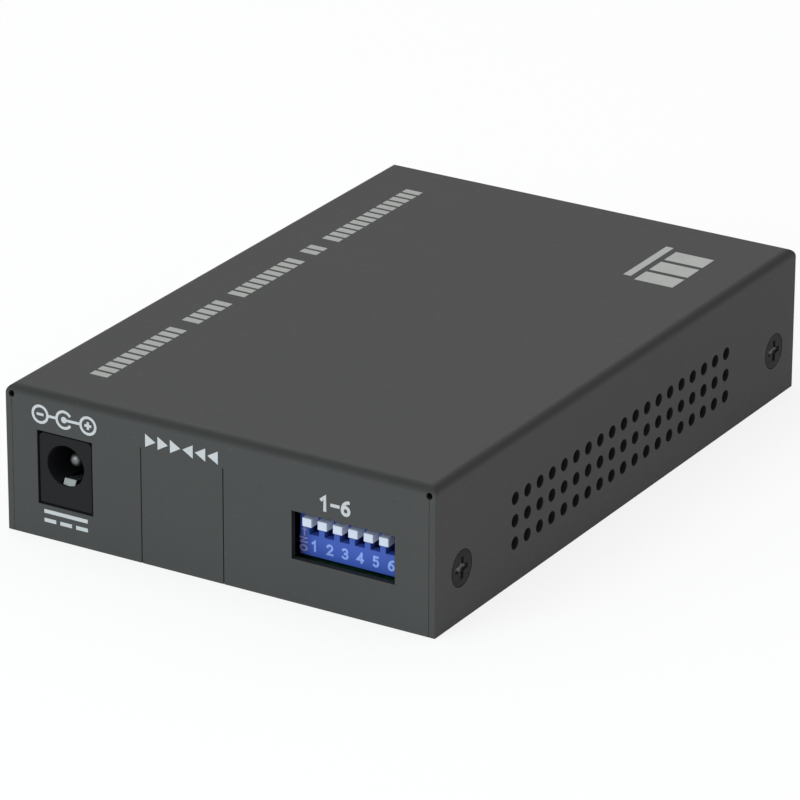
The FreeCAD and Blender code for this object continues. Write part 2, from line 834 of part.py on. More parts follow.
parts = {
    "top_cover": top_cover(),
    "base_tray": base_tray(),
    "case_screws": case_screws(),
    "board_standoffs": board_standoffs(),
    "board_screws": board_screws(),
    "circuit_board": circuit_board(),
    "jack_housing": jack_housing(),
    "jack_pin": jack_pin(),
    "jack_spring": jack_spring(),
    "backplane_socket": backplane_socket(),
    "backplane_terminals": bent_leads(spread(flap_center, socket_pitch, socket_columns), socket_rear,
                                      socket_terminal_rows),
    "switch_housing": switch_housing(),
    "switch_base": switch_base(),
    "switch_springs": switch_springs(),
    "switch_terminals": bent_leads(lever_xs, switch_rear, switch_terminal_rows),
    "lan_insert": lan_insert(),
    "lan_shield": lan_shield(),
    "lan_contact_row": lan_contact_row(),
    "fibre_housing": fibre_housing(),
    "ferrule_sleeves": ferrule_sleeves(),
    "latch_hooks": latch_hooks(),
    "fibre_pin_row": fibre_pin_row(),
    "light_holder": light_holder(),
    "status_lights": status_lights(),
    "light_leads": light_leads(),
    "main_chip": main_chip(),
    "main_chip_leads": main_chip_leads(),
    "lan_transformer": lan_transformer(),
    "lan_transformer_leads": lan_transformer_leads(),
    "clock_crystal": clock_crystal(),
    "capacitor_cans": capacitor_cans(),
    "power_inductor": power_inductor(),
    "voltage_regulator": voltage_regulator(),
}
for i, x in enumerate(lever_xs):
    parts[f"switch_lever_{i + 1}"] = switch_lever(x)

os.makedirs("parts", exist_ok=True)
for name, shape in parts.items():
    shape.exportStep(f"parts/{name}.step")
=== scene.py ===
import math

import bmesh
import bpy
from mathutils import Matrix, Vector


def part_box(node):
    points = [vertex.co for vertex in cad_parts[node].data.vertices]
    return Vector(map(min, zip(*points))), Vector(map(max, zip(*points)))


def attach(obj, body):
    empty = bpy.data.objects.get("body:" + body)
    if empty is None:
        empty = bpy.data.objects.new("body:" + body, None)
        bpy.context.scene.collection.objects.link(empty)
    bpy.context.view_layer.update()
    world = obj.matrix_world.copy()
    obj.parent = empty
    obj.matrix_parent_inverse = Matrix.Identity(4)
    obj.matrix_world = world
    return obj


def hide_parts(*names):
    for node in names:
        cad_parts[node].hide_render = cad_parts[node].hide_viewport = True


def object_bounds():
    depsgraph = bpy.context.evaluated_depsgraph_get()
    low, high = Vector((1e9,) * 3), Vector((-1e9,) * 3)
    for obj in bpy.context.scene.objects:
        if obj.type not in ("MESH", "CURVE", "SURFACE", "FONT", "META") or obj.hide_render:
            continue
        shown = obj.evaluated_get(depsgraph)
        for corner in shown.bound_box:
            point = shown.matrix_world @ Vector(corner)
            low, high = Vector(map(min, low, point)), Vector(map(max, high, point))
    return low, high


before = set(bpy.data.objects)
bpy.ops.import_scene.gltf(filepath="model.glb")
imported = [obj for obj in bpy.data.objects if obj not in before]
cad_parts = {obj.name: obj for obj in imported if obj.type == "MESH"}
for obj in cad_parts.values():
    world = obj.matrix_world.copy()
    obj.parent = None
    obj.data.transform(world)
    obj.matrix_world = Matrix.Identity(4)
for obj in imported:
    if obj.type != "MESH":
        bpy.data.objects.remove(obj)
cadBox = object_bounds()
mm = 0.001
print("frame loaded:", len(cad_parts), "nodes")


def middle(node):
    low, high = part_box(node)
    return (low + high) / 2


def addObject(name, mesh):
    made = bpy.data.objects.new(name, mesh)
    bpy.context.scene.collection.objects.link(made)
    return made


# Camera: angles in degrees, round from the power end and up from the floor
camera = {
    "azimuth": 31.108,
    "elevation": 22.824,
    "roll": 0.196,
    "distance": 843.948 * mm,
    "lens": 253.284,
    "slide": (-1.859 * mm, -2.311 * mm),    # to the right and up, from the middle of the part
    "nearest": 10 * mm,
}


def buildCamera():
    turn = math.radians(camera["azimuth"])
    lift = math.radians(camera["elevation"])
    roll = math.radians(camera["roll"])
    back = Vector((math.sin(turn) * math.cos(lift), -math.cos(turn) * math.cos(lift), math.sin(lift)))
    level = Vector((math.cos(turn), math.sin(turn), 0))
    up = back.cross(level)
    right = math.cos(roll) * level + math.sin(roll) * up
    top = math.cos(roll) * up - math.sin(roll) * level
    low, high = cadBox
    place = (low + high) / 2 + back * camera["distance"]
    place += right * camera["slide"][0] + top * camera["slide"][1]
    data = bpy.data.cameras.new("camera")
    data.lens = camera["lens"]
    data.clip_start = camera["nearest"]
    made = addObject("camera", data)
    made.matrix_world = Matrix.Translation(place) @ Matrix((right, top, back)).transposed().to_4x4()
    bpy.context.scene.camera = made


buildCamera()
print("camera placed")


# One socket of a node tree: arithmetic on it adds Math nodes
class Wire:
    def __init__(self, tree, socket=None):
        self.tree = tree
        self.socket = socket

    def node(self, kind, settings=None, sockets=None, output=0):
        made = self.tree.nodes.new(kind)
        for name, value in (settings or {}).items():
            setattr(made, name, value)
        for name, value in (sockets or {}).items():
            if isinstance(value, Wire):
                self.tree.links.new(value.socket, made.inputs[name])
            else:
                made.inputs[name].default_value = value
        return Wire(self.tree, made.outputs[output])

    def math(self, operation, *values):
        return self.node("ShaderNodeMath", {"operation": operation}, dict(enumerate(values)))

    def __add__(self, other):
        return self.math("ADD", self, other)

    def __radd__(self, other):
        return self.math("ADD", other, self)

    def __sub__(self, other):
        return self.math("SUBTRACT", self, other)

    def __rsub__(self, other):
        return self.math("SUBTRACT", other, self)

    def __mul__(self, other):
        return self.math("MULTIPLY", self, other)

    def __rmul__(self, other):
        return self.math("MULTIPLY", other, self)

    def __truediv__(self, other):
        return self.math("DIVIDE", self, other)

    def __rtruediv__(self, other):
        return self.math("DIVIDE", other, self)

    def __pow__(self, other):
        return self.math("POWER", self, other)

    def __abs__(self):
        return self.math("ABSOLUTE", self)

    def above(self, level, softness):
        # 0 below the level, 1 above it
        return self.node("ShaderNodeMapRange", {"interpolation_type": "SMOOTHSTEP"},
                         {0: self, 1: level - softness, 2: level + softness})

    def blend(self, low, high):
        # a colour between two others, low at 0 and high at 1
        return self.node("ShaderNodeMix", {"data_type": "RGBA"}, {0: self, 6: low, 7: high}, 2)


# A new material, with textures that are read in the object's own coordinates
class Finish(Wire):
    def __init__(self, name, **sockets):
        self.material = bpy.data.materials.new(name)
        self.material.use_nodes = True
        super().__init__(self.material.node_tree)
        self.shader = self.tree.nodes["Principled BSDF"]
        self.shader.inputs["Base Color"].default_value = (0.5, 0.5, 0.5, 1)
        self.at = self.node("ShaderNodeTexCoord", output="Object")
        for key, value in sockets.items():
            self.shader.inputs[key.replace("_", " ")].default_value = value

    def put(self, name, value):
        self.tree.links.new(value.socket, self.shader.inputs[name])

    def axis(self, which):
        return self.node("ShaderNodeSeparateXYZ", None, {0: self.at}, which)

    def noise(self, size, detail=2.0, stretch=None):
        # size is one lump of the noise, in metres
        at = self.at
        if stretch:
            at = self.node("ShaderNodeVectorMath", {"operation": "MULTIPLY"}, {0: at, 1: stretch})
        return self.node("ShaderNodeTexNoise", None, {"Vector": at, "Scale": 1 / size, "Detail": detail})

    def around(self, mix, colour, spread):
        # a colour that wanders to either side of the one given
        return mix.blend(shade(colour, 1 - spread), shade(colour, 1 + spread))

    def relief(self, height, depth, edge=0.0):
        # bump from a height, with edges rounded over a small radius
        sockets = {"Height": height, "Distance": depth, "Strength": 1.0}
        if edge:
            sockets["Normal"] = self.node("ShaderNodeBevel", {"samples": 4}, {"Radius": edge})
        self.put("Normal", self.node("ShaderNodeBump", None, sockets))


def shade(colour, factor):
    return tuple(part * factor for part in colour[:3]) + (1.0,)


def grey(value):
    return (value, value, value, 1.0)


# Painted sheet steel, with painted shade on the folds, cut edges and inner faces of the cover
paint = {
    "colour": (0.060, 0.0605, 0.059, 1.0),
    "spread": 0.05,             # how far it wanders to either side
    "grainShare": 0.1,          # of that wandering, and the rest follows the clouds
    "roughness": 0.7,
    "gloss": 0.12,
    "cloud": 26 * mm,           # slow patches
    "cloudSwing": 0.08,         # of the roughness
    "grain": 0.45 * mm,         # lumps of the powder coat
    "grainSwing": 0.16,
    "grainDepth": 0.006 * mm,
    "speck": 0.9 * mm,          # rare pale grains
    "speckRarity": 0.69,
    "speckFade": 0.03,
    "speckShade": 1.5,
    "speckShare": 0.25,
    # painted shade on the folds: the colour is darkened along each bend
    "foldRadius": 1.4 * mm,
    "foldShade": 0.55,          # how far the folds go to their dark colour
    "foldShadeColour": grey(0.008),
    "foldFocus": 1.3,           # how narrow that shade is
    "foldReach": 1.2,           # cut edges lie further from a fold than this, in radii
    "cutDepth": 0.04 * mm,      # cut edges lie further inside than this
    # painted shade in the cut edges and on the inner faces of the sheet, partly also the thinner paint
    # on punched edges
    "cutShade": 0.75,
    "cutShadeColour": grey(0.004),
    "edge": 0.12 * mm,
}


def paintedSteel(name, folds):
    low, high = cadBox
    made = Finish(name, Specular_IOR_Level=paint["gloss"])
    grain = made.noise(paint["grain"], 3.0)
    cloud = made.noise(paint["cloud"], 2.0)
    speck = made.noise(paint["speck"], 1.0).above(paint["speckRarity"], paint["speckFade"])
    drift = cloud * (1 - paint["grainShare"]) + grain * paint["grainShare"]
    colour = made.around(drift, paint["colour"], paint["spread"])
    colour = (speck * paint["speckShare"]).blend(colour, shade(paint["colour"], paint["speckShade"]))
    # painted shade on the folds, the cut edges and the inner faces
    if folds:
        toTop = high.z - made.axis("Z")
        toSide = high.x - abs(made.axis("X"))
        toEnd = high.y - abs(made.axis("Y"))
        nearest = made.math("MINIMUM", toSide, toEnd)
        # painted shade along the bends: strongest half way round the bend, nothing where it meets the
        # flat faces
        outward = made.math("MAXIMUM", 1 - nearest / paint["foldRadius"], 0.0)
        upward = made.math("MAXIMUM", 1 - toTop / paint["foldRadius"], 0.0)
        foldShadeMask = made.math("MINIMUM", outward * upward * 2, 1.0) ** paint["foldFocus"]
        # painted shade deep in the cut edges and on the inner faces, away from the folds, partly also
        # thinner paint on the cut edges
        inside = made.math("MINIMUM", nearest, toTop)
        shadedInside = made.math("GREATER_THAN", inside, paint["cutDepth"])
        flat = 1 - made.math("LESS_THAN", toTop + nearest, paint["foldRadius"] * paint["foldReach"])
        # painted shade along the folds
        colour = (foldShadeMask * paint["foldShade"]).blend(colour, paint["foldShadeColour"])
        colour = (shadedInside * flat * paint["cutShade"]).blend(colour, paint["cutShadeColour"])
    made.put("Base Color", colour)
    swing = (grain - 0.5) * paint["grainSwing"] + (cloud - 0.5) * paint["cloudSwing"]
    made.put("Roughness", paint["roughness"] + swing)
    made.relief(grain, paint["grainDepth"], paint["edge"])
    return made.material


# Moulded plastics
plastic = {
    "flow": 5 * mm,             # streaks of the moulding
    "spread": 0.08,
    "grain": 0.18 * mm,
    "grainSwing": 0.2,
    "grainDepth": 0.004 * mm,
    "edge": 0.1 * mm,
}


def mouldedPlastic(name, colour, roughness, gloss=0.5, grain=plastic["grain"],
                   depth=plastic["grainDepth"], edge=plastic["edge"]):
    made = Finish(name, Specular_IOR_Level=gloss)
    fine = made.noise(grain, 3.0)
    flow = made.noise(plastic["flow"], 2.0)
    made.put("Base Color", made.around(flow, colour, plastic["spread"]))
    made.put("Roughness", roughness + (fine - 0.5) * plastic["grainSwing"])
    made.relief(fine, depth, edge)
    return made.material


# Metals, drawn out along an axis where their grain runs that way
metal = {
    "grain": 0.3 * mm,
    "grainSwing": 0.25,
    "grainDepth": 0.002 * mm,
    "dull": 3 * mm,             # patches where the shine has gone
    "dullSwing": 0.1,
    "dullShade": 0.86,
    "edge": 0.06 * mm,
}

# Black oxide, rubbed to bare steel deep in the recess of a screw
driverWear = {
    "depth": 0.42 * mm,
    "fade": 0.168 * mm,
    "patchy": 0.3 * mm,         # how unevenly that depth is reached
    "share": 0.8,
    "colour": (0.21, 0.21, 0.2, 1.0),
    "gloss": 0.1,               # of the oxide
}


def platedMetal(name, colour, roughness, stretch=(1, 1, 1), worn=None):
    made = Finish(name, Metallic=1.0, Specular_IOR_Level=worn["gloss"] if worn else 0.5)
    brushed = made.noise(metal["grain"], 4.0, stretch)
    dull = made.noise(metal["dull"], 2.0)
    tone = dull.blend(shade(colour, metal["dullShade"]), colour)
    if worn:
        # bare metal below the faces of the heads, on both sides of the case
        below = cadBox[1].x - abs(made.axis("X")) + (brushed - 0.5) * worn["patchy"]
        bare = below.above(worn["depth"], worn["fade"]) * worn["share"]
        tone = bare.blend(tone, worn["colour"])
        made.put("Metallic", bare)
    made.put("Base Color", tone)
    swing = (brushed - 0.5) * metal["grainSwing"] + (dull - 0.5) * metal["dullSwing"]
    made.put("Roughness", roughness + swing)
    made.relief(brushed, metal["grainDepth"], metal["edge"])
    return made.material


# Circuit board: tracks that run across in some patches and along in others, and wander a little
board = {
    "green": (0.006, 0.04, 0.018, 1.0),
    "copper": (0.014, 0.07, 0.027, 1.0),
    "trackPitch": 1.6 * mm,
    "trackGap": 0.6,            # share of the pitch between two tracks
    "trackFade": 0.03,
    "trackHeight": 0.02 * mm,
    "wander": 9 * mm,
    "swing": 3.0,               # in pitches
    "patch": 14 * mm,
    "patchFade": 0.002,
    "weave": 0.4 * mm,          # of the glass cloth
    "weaveShare": 0.1,          # of the tracks' height
    "weaveSwing": 0.14,
    "roughness": 0.38,
    "coat": 0.6,
    "coatRoughness": 0.15,
}


def boardFinish():
    made = Finish("boardLacquer", Coat_Weight=board["coat"], Coat_Roughness=board["coatRoughness"])
    wander = made.noise(board["wander"], 0.0) * board["swing"]
    across = made.axis("X") / board["trackPitch"] + wander
    along = made.axis("Y") / board["trackPitch"] + wander
    upright = made.noise(board["patch"], 0.0).above(0.5, board["patchFade"])
    lanes = upright * across + (1 - upright) * along
    track = abs(made.math("FRACT", lanes) - 0.5).above(board["trackGap"] / 2, board["trackFade"])
    weave = made.noise(board["weave"], 2.0)
    made.put("Base Color", track.blend(board["green"], board["copper"]))
    made.put("Roughness", board["roughness"] + weave * board["weaveSwing"])
    made.relief(track + weave * board["weaveShare"], board["trackHeight"])
    return made.material


# Chip bodies
epoxy = {
    "dark": 0.012,
    "pale": 0.028,
    "roughness": 0.55,
    "grain": 0.12 * mm,
    "grainSwing": 0.2,
    "grainDepth": 0.005 * mm,
    "edge": 0.05 * mm,
}


def castEpoxy():
    made = Finish("chipEpoxy")
    fine = made.noise(epoxy["grain"], 3.0)
    made.put("Base Color", fine.blend(grey(epoxy["dark"]), grey(epoxy["pale"])))
    made.put("Roughness", epoxy["roughness"] + fine * epoxy["grainSwing"])
    made.relief(fine, epoxy["grainDepth"], epoxy["edge"])
    return made.material


# Green plastic of the status lights, unlit
lens = {
    "deep": (0.07, 0.34, 0.06, 1.0),
    "pale": (0.12, 0.5, 0.09, 1.0),
    "clear": 0.2,               # share of the light that goes through
    "bending": 1.49,
    "coat": 0.5,
    "roughness": 0.16,
    "haze": 1.2 * mm,
    "hazeSwing": 0.1,
}


def ledLens():
    made = Finish("ledLens", Transmission_Weight=lens["clear"], IOR=lens["bending"],
                  Coat_Weight=lens["coat"])
    haze = made.noise(lens["haze"], 2.0)
    made.put("Base Color", haze.blend(lens["deep"], lens["pale"]))
    made.put("Roughness", lens["roughness"] + haze * lens["hazeSwing"])
    return made.material


# Screen-printed ink: thin in places, so that its colour drops there
ink = {
    "thin": 0.8,
    "full": 1.1,
    "roughness": 0.45,
    "patch": 2.5 * mm,
    "speckle": 0.25 * mm,
    "speckleSwing": 0.2,
    "speckleDepth": 0.003 * mm,
}


def printInk(name, colour):
    made = Finish(name)
    speckle = made.noise(ink["speckle"], 2.0)
    patch = made.noise(ink["patch"], 1.0)
    cover = speckle * 0.5 + patch * 0.5
    made.put("Base Color", cover.blend(shade(colour, ink["thin"]), shade(colour, ink["full"])))
    made.put("Roughness", ink["roughness"] + speckle * ink["speckleSwing"])
    made.relief(speckle, ink["speckleDepth"])
    return made.material


coverPaintAndShade = paintedSteel("coverPaintAndShade", True)
trayPaint = paintedSteel("trayPaint", False)
blackPlastic = mouldedPlastic("blackPlastic", (0.0105, 0.0108, 0.0125), 0.6, gloss=0.12)
switchBlue = mouldedPlastic("switchBlue", (0.045, 0.095, 0.42), 0.45, gloss=0.3)
leverWhite = mouldedPlastic("leverWhite", (0.56, 0.6, 0.7), 0.5, gloss=0.3, edge=0.14 * mm)
hookNylon = mouldedPlastic("hookNylon", (0.32, 0.36, 0.4), 0.35)
ceramic = mouldedPlastic("ferruleCeramic", (0.75, 0.74, 0.68), 0.22)
ferrite = mouldedPlastic("ferrite", (0.035, 0.033, 0.032), 0.65, grain=0.25 * mm, depth=0.02 * mm)
blackSteel = platedMetal("blackSteel", (0.009, 0.0092, 0.0098, 1), 0.55, worn=driverWear)
zincSteel = platedMetal("zincSteel", (0.62, 0.62, 0.6, 1), 0.35)
contactMetal = platedMetal("contactMetal", (0.85, 0.66, 0.3, 1), 0.25, (1, 8, 1))
tinMetal = platedMetal("tinMetal", (0.42, 0.42, 0.42, 1), 0.36, (1, 1, 6))
springSteel = platedMetal("springSteel", (0.2, 0.2, 0.2, 1), 0.52, (1, 6, 1))
shieldMetal = platedMetal("shieldMetal", (0.7, 0.69, 0.66, 1), 0.28, (1, 1, 12))
canMetal = platedMetal("canMetal", (0.68, 0.69, 0.72, 1), 0.3, (1, 1, 0.1))
boardLacquer = boardFinish()
chipEpoxy = castEpoxy()
lensPlastic = ledLens()
whiteInk = printInk("whiteInk", (0.5, 0.515, 0.53))
greyInk = printInk("greyInk", (0.34, 0.34, 0.33))
emblemInk = printInk("emblemInk", (0.37, 0.37, 0.36))
switchInk = printInk("switchInk", (0.27, 0.4, 0.88))
onInk = printInk("onInk", (0.34, 0.32, 0.62))

finishes = {
    "top_cover": coverPaintAndShade,
    "base_tray": trayPaint,
    "case_screws": blackSteel,
    "board_standoffs": zincSteel,
    "board_screws": zincSteel,
    "circuit_board": boardLacquer,
    "jack_housing": blackPlastic,
    "jack_pin": springSteel,
    "jack_spring": springSteel,
    "backplane_socket": blackPlastic,
    "backplane_terminals": tinMetal,
    "switch_housing": switchBlue,
    "switch_base": blackPlastic,
    "switch_springs": contactMetal,
    "switch_terminals": tinMetal,
    "lan_insert": blackPlastic,
    "lan_shield": shieldMetal,
    "lan_contact_row": contactMetal,
    "fibre_housing": blackPlastic,
    "ferrule_sleeves": ceramic,
    "latch_hooks": hookNylon,
    "fibre_pin_row": tinMetal,
    "light_holder": blackPlastic,
    "status_lights": lensPlastic,
    "light_leads": tinMetal,
    "main_chip": chipEpoxy,
    "main_chip_leads": tinMetal,
    "lan_transformer": chipEpoxy,
    "lan_transformer_leads": tinMetal,
    "clock_crystal": canMetal,
    "capacitor_cans": canMetal,
    "power_inductor": ferrite,
    "voltage_regulator": chipEpoxy,
}
for node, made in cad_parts.items():
    made.data.materials.clear()
    # all that the table leaves out are the levers
    made.data.materials.append(finishes.get(node, leverWhite))
print("finishes given to", len(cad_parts), "nodes")


# Separate solids of a node, each as its lowest and highest corner
weldReach = 0.001 * mm


def solidBoxes(node):
    mesh = bmesh.new()
    mesh.from_mesh(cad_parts[node].data)
    bmesh.ops.remove_doubles(mesh, verts=mesh.verts, dist=weldReach)
    left = set(mesh.verts)
    boxes = []
    while left:
        front = [left.pop()]
        low = front[0].co.copy()
        high = front[0].co.copy()
        while front:
            vert = front.pop()
            low = Vector(map(min, low, vert.co))
            high = Vector(map(max, high, vert.co))
            for edge in vert.link_edges:
                other = edge.other_vert(vert)
                if other in left:
                    left.remove(other)
                    front.append(other)
        boxes.append((low, high))
    mesh.free()
    return sorted(boxes, key=lambda box: tuple(box[0]))


# Copies of a piece on points: each point says which way its copy looks
def copiesTree():
    tree = bpy.data.node_groups.new("copiesOnPoints", "GeometryNodeTree")
    for name, kind in (("Points", "Geometry"), ("Piece", "Object"), ("Finish", "Material")):
        tree.interface.new_socket(name, in_out="INPUT", socket_type="NodeSocket" + kind)
    tree.interface.new_socket("Copies", in_out="OUTPUT", socket_type="NodeSocketGeometry")
    inputs = tree.nodes.new("NodeGroupInput").outputs
    wires = {socket.name: Wire(tree, socket) for socket in inputs if socket.name}
    start = wires["Points"]
    piece = start.node("GeometryNodeObjectInfo", None, {"Object": wires["Piece"]}, "Geometry")
    aim = start.node("GeometryNodeInputNamedAttribute", {"data_type": "FLOAT_VECTOR"}, {"Name": "aim"})
    turn = start.node("FunctionNodeAlignRotationToVector", {"axis": "Z"}, {"Vector": aim})
    given = {"Points": start, "Instance": piece, "Rotation": turn}
    copies = start.node("GeometryNodeInstanceOnPoints", None, given)
    whole = start.node("GeometryNodeRealizeInstances", None, {0: copies})
    done = start.node("GeometryNodeSetMaterial", None, {"Geometry": whole, "Material": wires["Finish"]})
    last = tree.nodes.new("NodeGroupOutput")
    tree.links.new(done.socket, last.inputs[0])
    return tree


copiesOnPoints = copiesTree()


# What an object looks like with its modifiers, as a plain mesh of its own
def bakeModifiers(name, source):
    graph = bpy.context.evaluated_depsgraph_get()
    mesh = bpy.data.meshes.new_from_object(source.evaluated_get(graph), depsgraph=graph)
    mesh.name = name
    return addObject(name, mesh)


def copiesOf(name, piece, places, aims, finish):
    points = bpy.data.meshes.new(name + "Points")
    points.from_pydata([tuple(place) for place in places], [], [])
    aim = points.attributes.new("aim", "FLOAT_VECTOR", "POINT")
    for i, way in enumerate(aims):
        aim.data[i].vector = way
    holder = addObject(name + "Holder", points)
    modifier = holder.modifiers.new("copies", "NODES")
    modifier.node_group = copiesOnPoints
    values = {"Piece": piece, "Finish": finish}
    for socket in copiesOnPoints.interface.items_tree:
        if socket.in_out == "INPUT" and socket.name in values:
            modifier[socket.identifier] = values[socket.name]
    made = bakeModifiers(name, holder)
    bpy.data.objects.remove(holder)
    bpy.data.objects.remove(piece)
    return made


def ofMesh(name, mesh, smooth=False):
    data = bpy.data.meshes.new(name)
    for face in mesh.faces:
        face.smooth = smooth
    mesh.to_mesh(data)
    mesh.free()
    return addObject(name, data)


# A turned solid round Z from a profile of (radius, height) points, closed at both ends
def turned(profile, steps):
    mesh = bmesh.new()
    rings = []
    for radius, height in profile:
        if radius == 0:
            rings.append([mesh.verts.new((0, 0, height))])
            continue
        ring = []
        for i in range(steps):
            angle = 2 * math.pi * i / steps
            ring.append(mesh.verts.new((radius * math.cos(angle), radius * math.sin(angle), height)))
        rings.append(ring)
    for lower, upper in zip(rings, rings[1:]):
        for i in range(steps):
            j = (i + 1) % steps
            below = [lower[i % len(lower)], lower[j % len(lower)]]
            above = [upper[j % len(upper)], upper[i % len(upper)]]
            mesh.faces.new(list(dict.fromkeys(below + above)))
    bmesh.ops.recalc_face_normals(mesh, faces=mesh.faces)
    return mesh


# Cross recess of the screws: span and wing are those at the face of the head
recess = {
    "span": 3.9 * mm,
    "wing": 0.95 * mm,
    "depth": 0.8 * mm,
    "valley": ((1.7, 1.05), (1.254, 1.275)),    # slant between two wings, in half wings
    # two levels of the cutter: height, share of the span and share of the wing
    "over": (0.3 * mm, 1.02, 1.05),
    "shoulder": (-0.75, 0.62, 0.6),     # where its point starts, with the height in depths
}


def wingedRing(mesh, height, reach, half):
    # one level of the cutter: a wing and the slant towards the next one, four times
    wing = [(reach, -half), (reach, half)]
    wing += [(half * x, half * y) for x, y in recess["valley"]]
    ring = []
    for quarter in range(4):
        turn = Matrix.Rotation(quarter * math.pi / 2, 3, "Z")
        for x, y in wing:
            ring.append(mesh.verts.new(turn @ Vector((x, y, height))))
    return ring


def crossCutter():
    mesh = bmesh.new()
    span, wing, depth = recess["span"] / 2, recess["wing"] / 2, recess["depth"]
    height, wider, thicker = recess["over"]
    upper = wingedRing(mesh, height, span * wider, wing * thicker)
    height, wider, thicker = recess["shoulder"]
    lower = wingedRing(mesh, height * depth, span * wider, wing * thicker)
    tip = mesh.verts.new((0, 0, -depth))
    mesh.faces.new(upper)
    for i in range(len(upper)):
        j = (i + 1) % len(upper)
        mesh.faces.new((upper[i], upper[j], lower[j], lower[i]))
        mesh.faces.new((lower[i], lower[j], tip))
    bmesh.ops.recalc_face_normals(mesh, faces=mesh.faces)
    return mesh


# Screws: profiles run from the tip to the middle of the head's face
screws = {
    "steps": 40,
    "shank": 1.45 * mm,
    "tip": 0.4 * mm,
    "tipShare": 0.8,            # of the shank, at the tip's end
    "rim": 0.12 * mm,           # straight edge of a countersunk head
    "rimRound": 0.04 * mm,
    "crown": ((0.04 * mm, 0.05 * mm), (0.3 * mm, 0.01 * mm)),   # its face, in from the rim and down
    "pan": ((1, 0.45), (0.93, 0.75), (0.75, 0.93), (0.45, 1), (0, 1)),  # shares of radius and height
}


def recessedScrew(name, profile):
    body = ofMesh(name + "Body", turned(profile, screws["steps"]))
    cutter = ofMesh(name + "Cutter", crossCutter())
    top = max(height for _, height in profile)
    cutter.data.transform(Matrix.Translation((0, 0, top)))
    cut = body.modifiers.new("recess", "BOOLEAN")
    cut.object = cutter
    cut.solver = "EXACT"
    made = bakeModifiers(name, body)
    for face in made.data.polygons:
        face.use_smooth = False
    bpy.data.objects.remove(body)
    bpy.data.objects.remove(cutter)
    return made


# Countersunk, with the faces of their heads level with the sides of the case
def caseScrews():
    boxes = solidBoxes("case_screws")
    low, high = boxes[0]
    head = (high.z - low.z) / 2
    length = high.x - low.x
    shank, rim, bend = screws["shank"], screws["rim"], screws["rimRound"]
    profile = [(0, -length), (shank * screws["tipShare"], -length), (shank, screws["tip"] - length)]
    profile += [(shank, shank - head), (head - rim, -rim - bend), (head, -rim)]
    profile += [(head - inward, -down) for inward, down in screws["crown"]]
    profile += [(head / 2, 0), (0, 0)]
    screw = recessedScrew("caseScrew", profile)
    places = []
    aims = []
    for low, high in boxes:
        side = 1 if low.x > 0 else -1
        places.append((side * max(abs(low.x), abs(high.x)), (low.y + high.y) / 2, (low.z + high.z) / 2))
        aims.append((side, 0, 0))
    made = copiesOf("case_screw_heads", screw, places, aims, blackSteel)
    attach(made, "case")
    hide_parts("case_screws")


# Pan heads on top of the circuit board
def boardScrews():
    boxes = solidBoxes("board_screws")
    low, high = boxes[0]
    head = (high.x - low.x) / 2
    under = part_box("circuit_board")[1].z - low.z
    tall = high.z - low.z - under
    shank = screws["shank"]
    profile = [(0, -under), (shank, -under), (shank, 0), (head, 0)]
    profile += [(head * wide, tall * up) for wide, up in screws["pan"]]
    screw = recessedScrew("boardScrew", profile)
    places = [((low.x + high.x) / 2, (low.y + high.y) / 2, low.z + under) for low, high in boxes]
    made = copiesOf("board_screw_heads", screw, places, [(0, 0, 1)] * len(places), zincSteel)
    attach(made, "case")
    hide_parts("board_screws")


caseScrews()
boardScrews()
print("screws made")


# Status lights: round rods with a domed end
dome = {"rings": 6, "steps": 28}


def statusLights():
    boxes = solidBoxes("status_lights")
    low, high = boxes[0]
    radius = (high.x - low.x) / 2
    length = high.y - low.y
    profile = [(0, -length), (radius, -length)]
    for i in range(dome["rings"]):
        angle = math.pi / 2 * i / dome["rings"]
        profile.append((radius * math.cos(angle), radius * math.sin(angle) - radius))
    profile.append((0, 0))
    rod = ofMesh("statusLens", turned(profile, dome["steps"]), True)
    places = [((low.x + high.x) / 2, high.y, (low.z + high.z) / 2) for low, high in boxes]
    made = copiesOf("status_light_lenses", rod, places, [(0, 1, 0)] * len(places), lensPlastic)
    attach(made, "case")
    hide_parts("status_lights")


statusLights()
print("status lights made")


# Printed marks: thin flat shapes drawn on the XY plane, then laid on a face. A shape that
# crosses another takes a higher layer, so that their faces don't fall together.
printThickness = 0.012 * mm
printLayer = 0.006 * mm


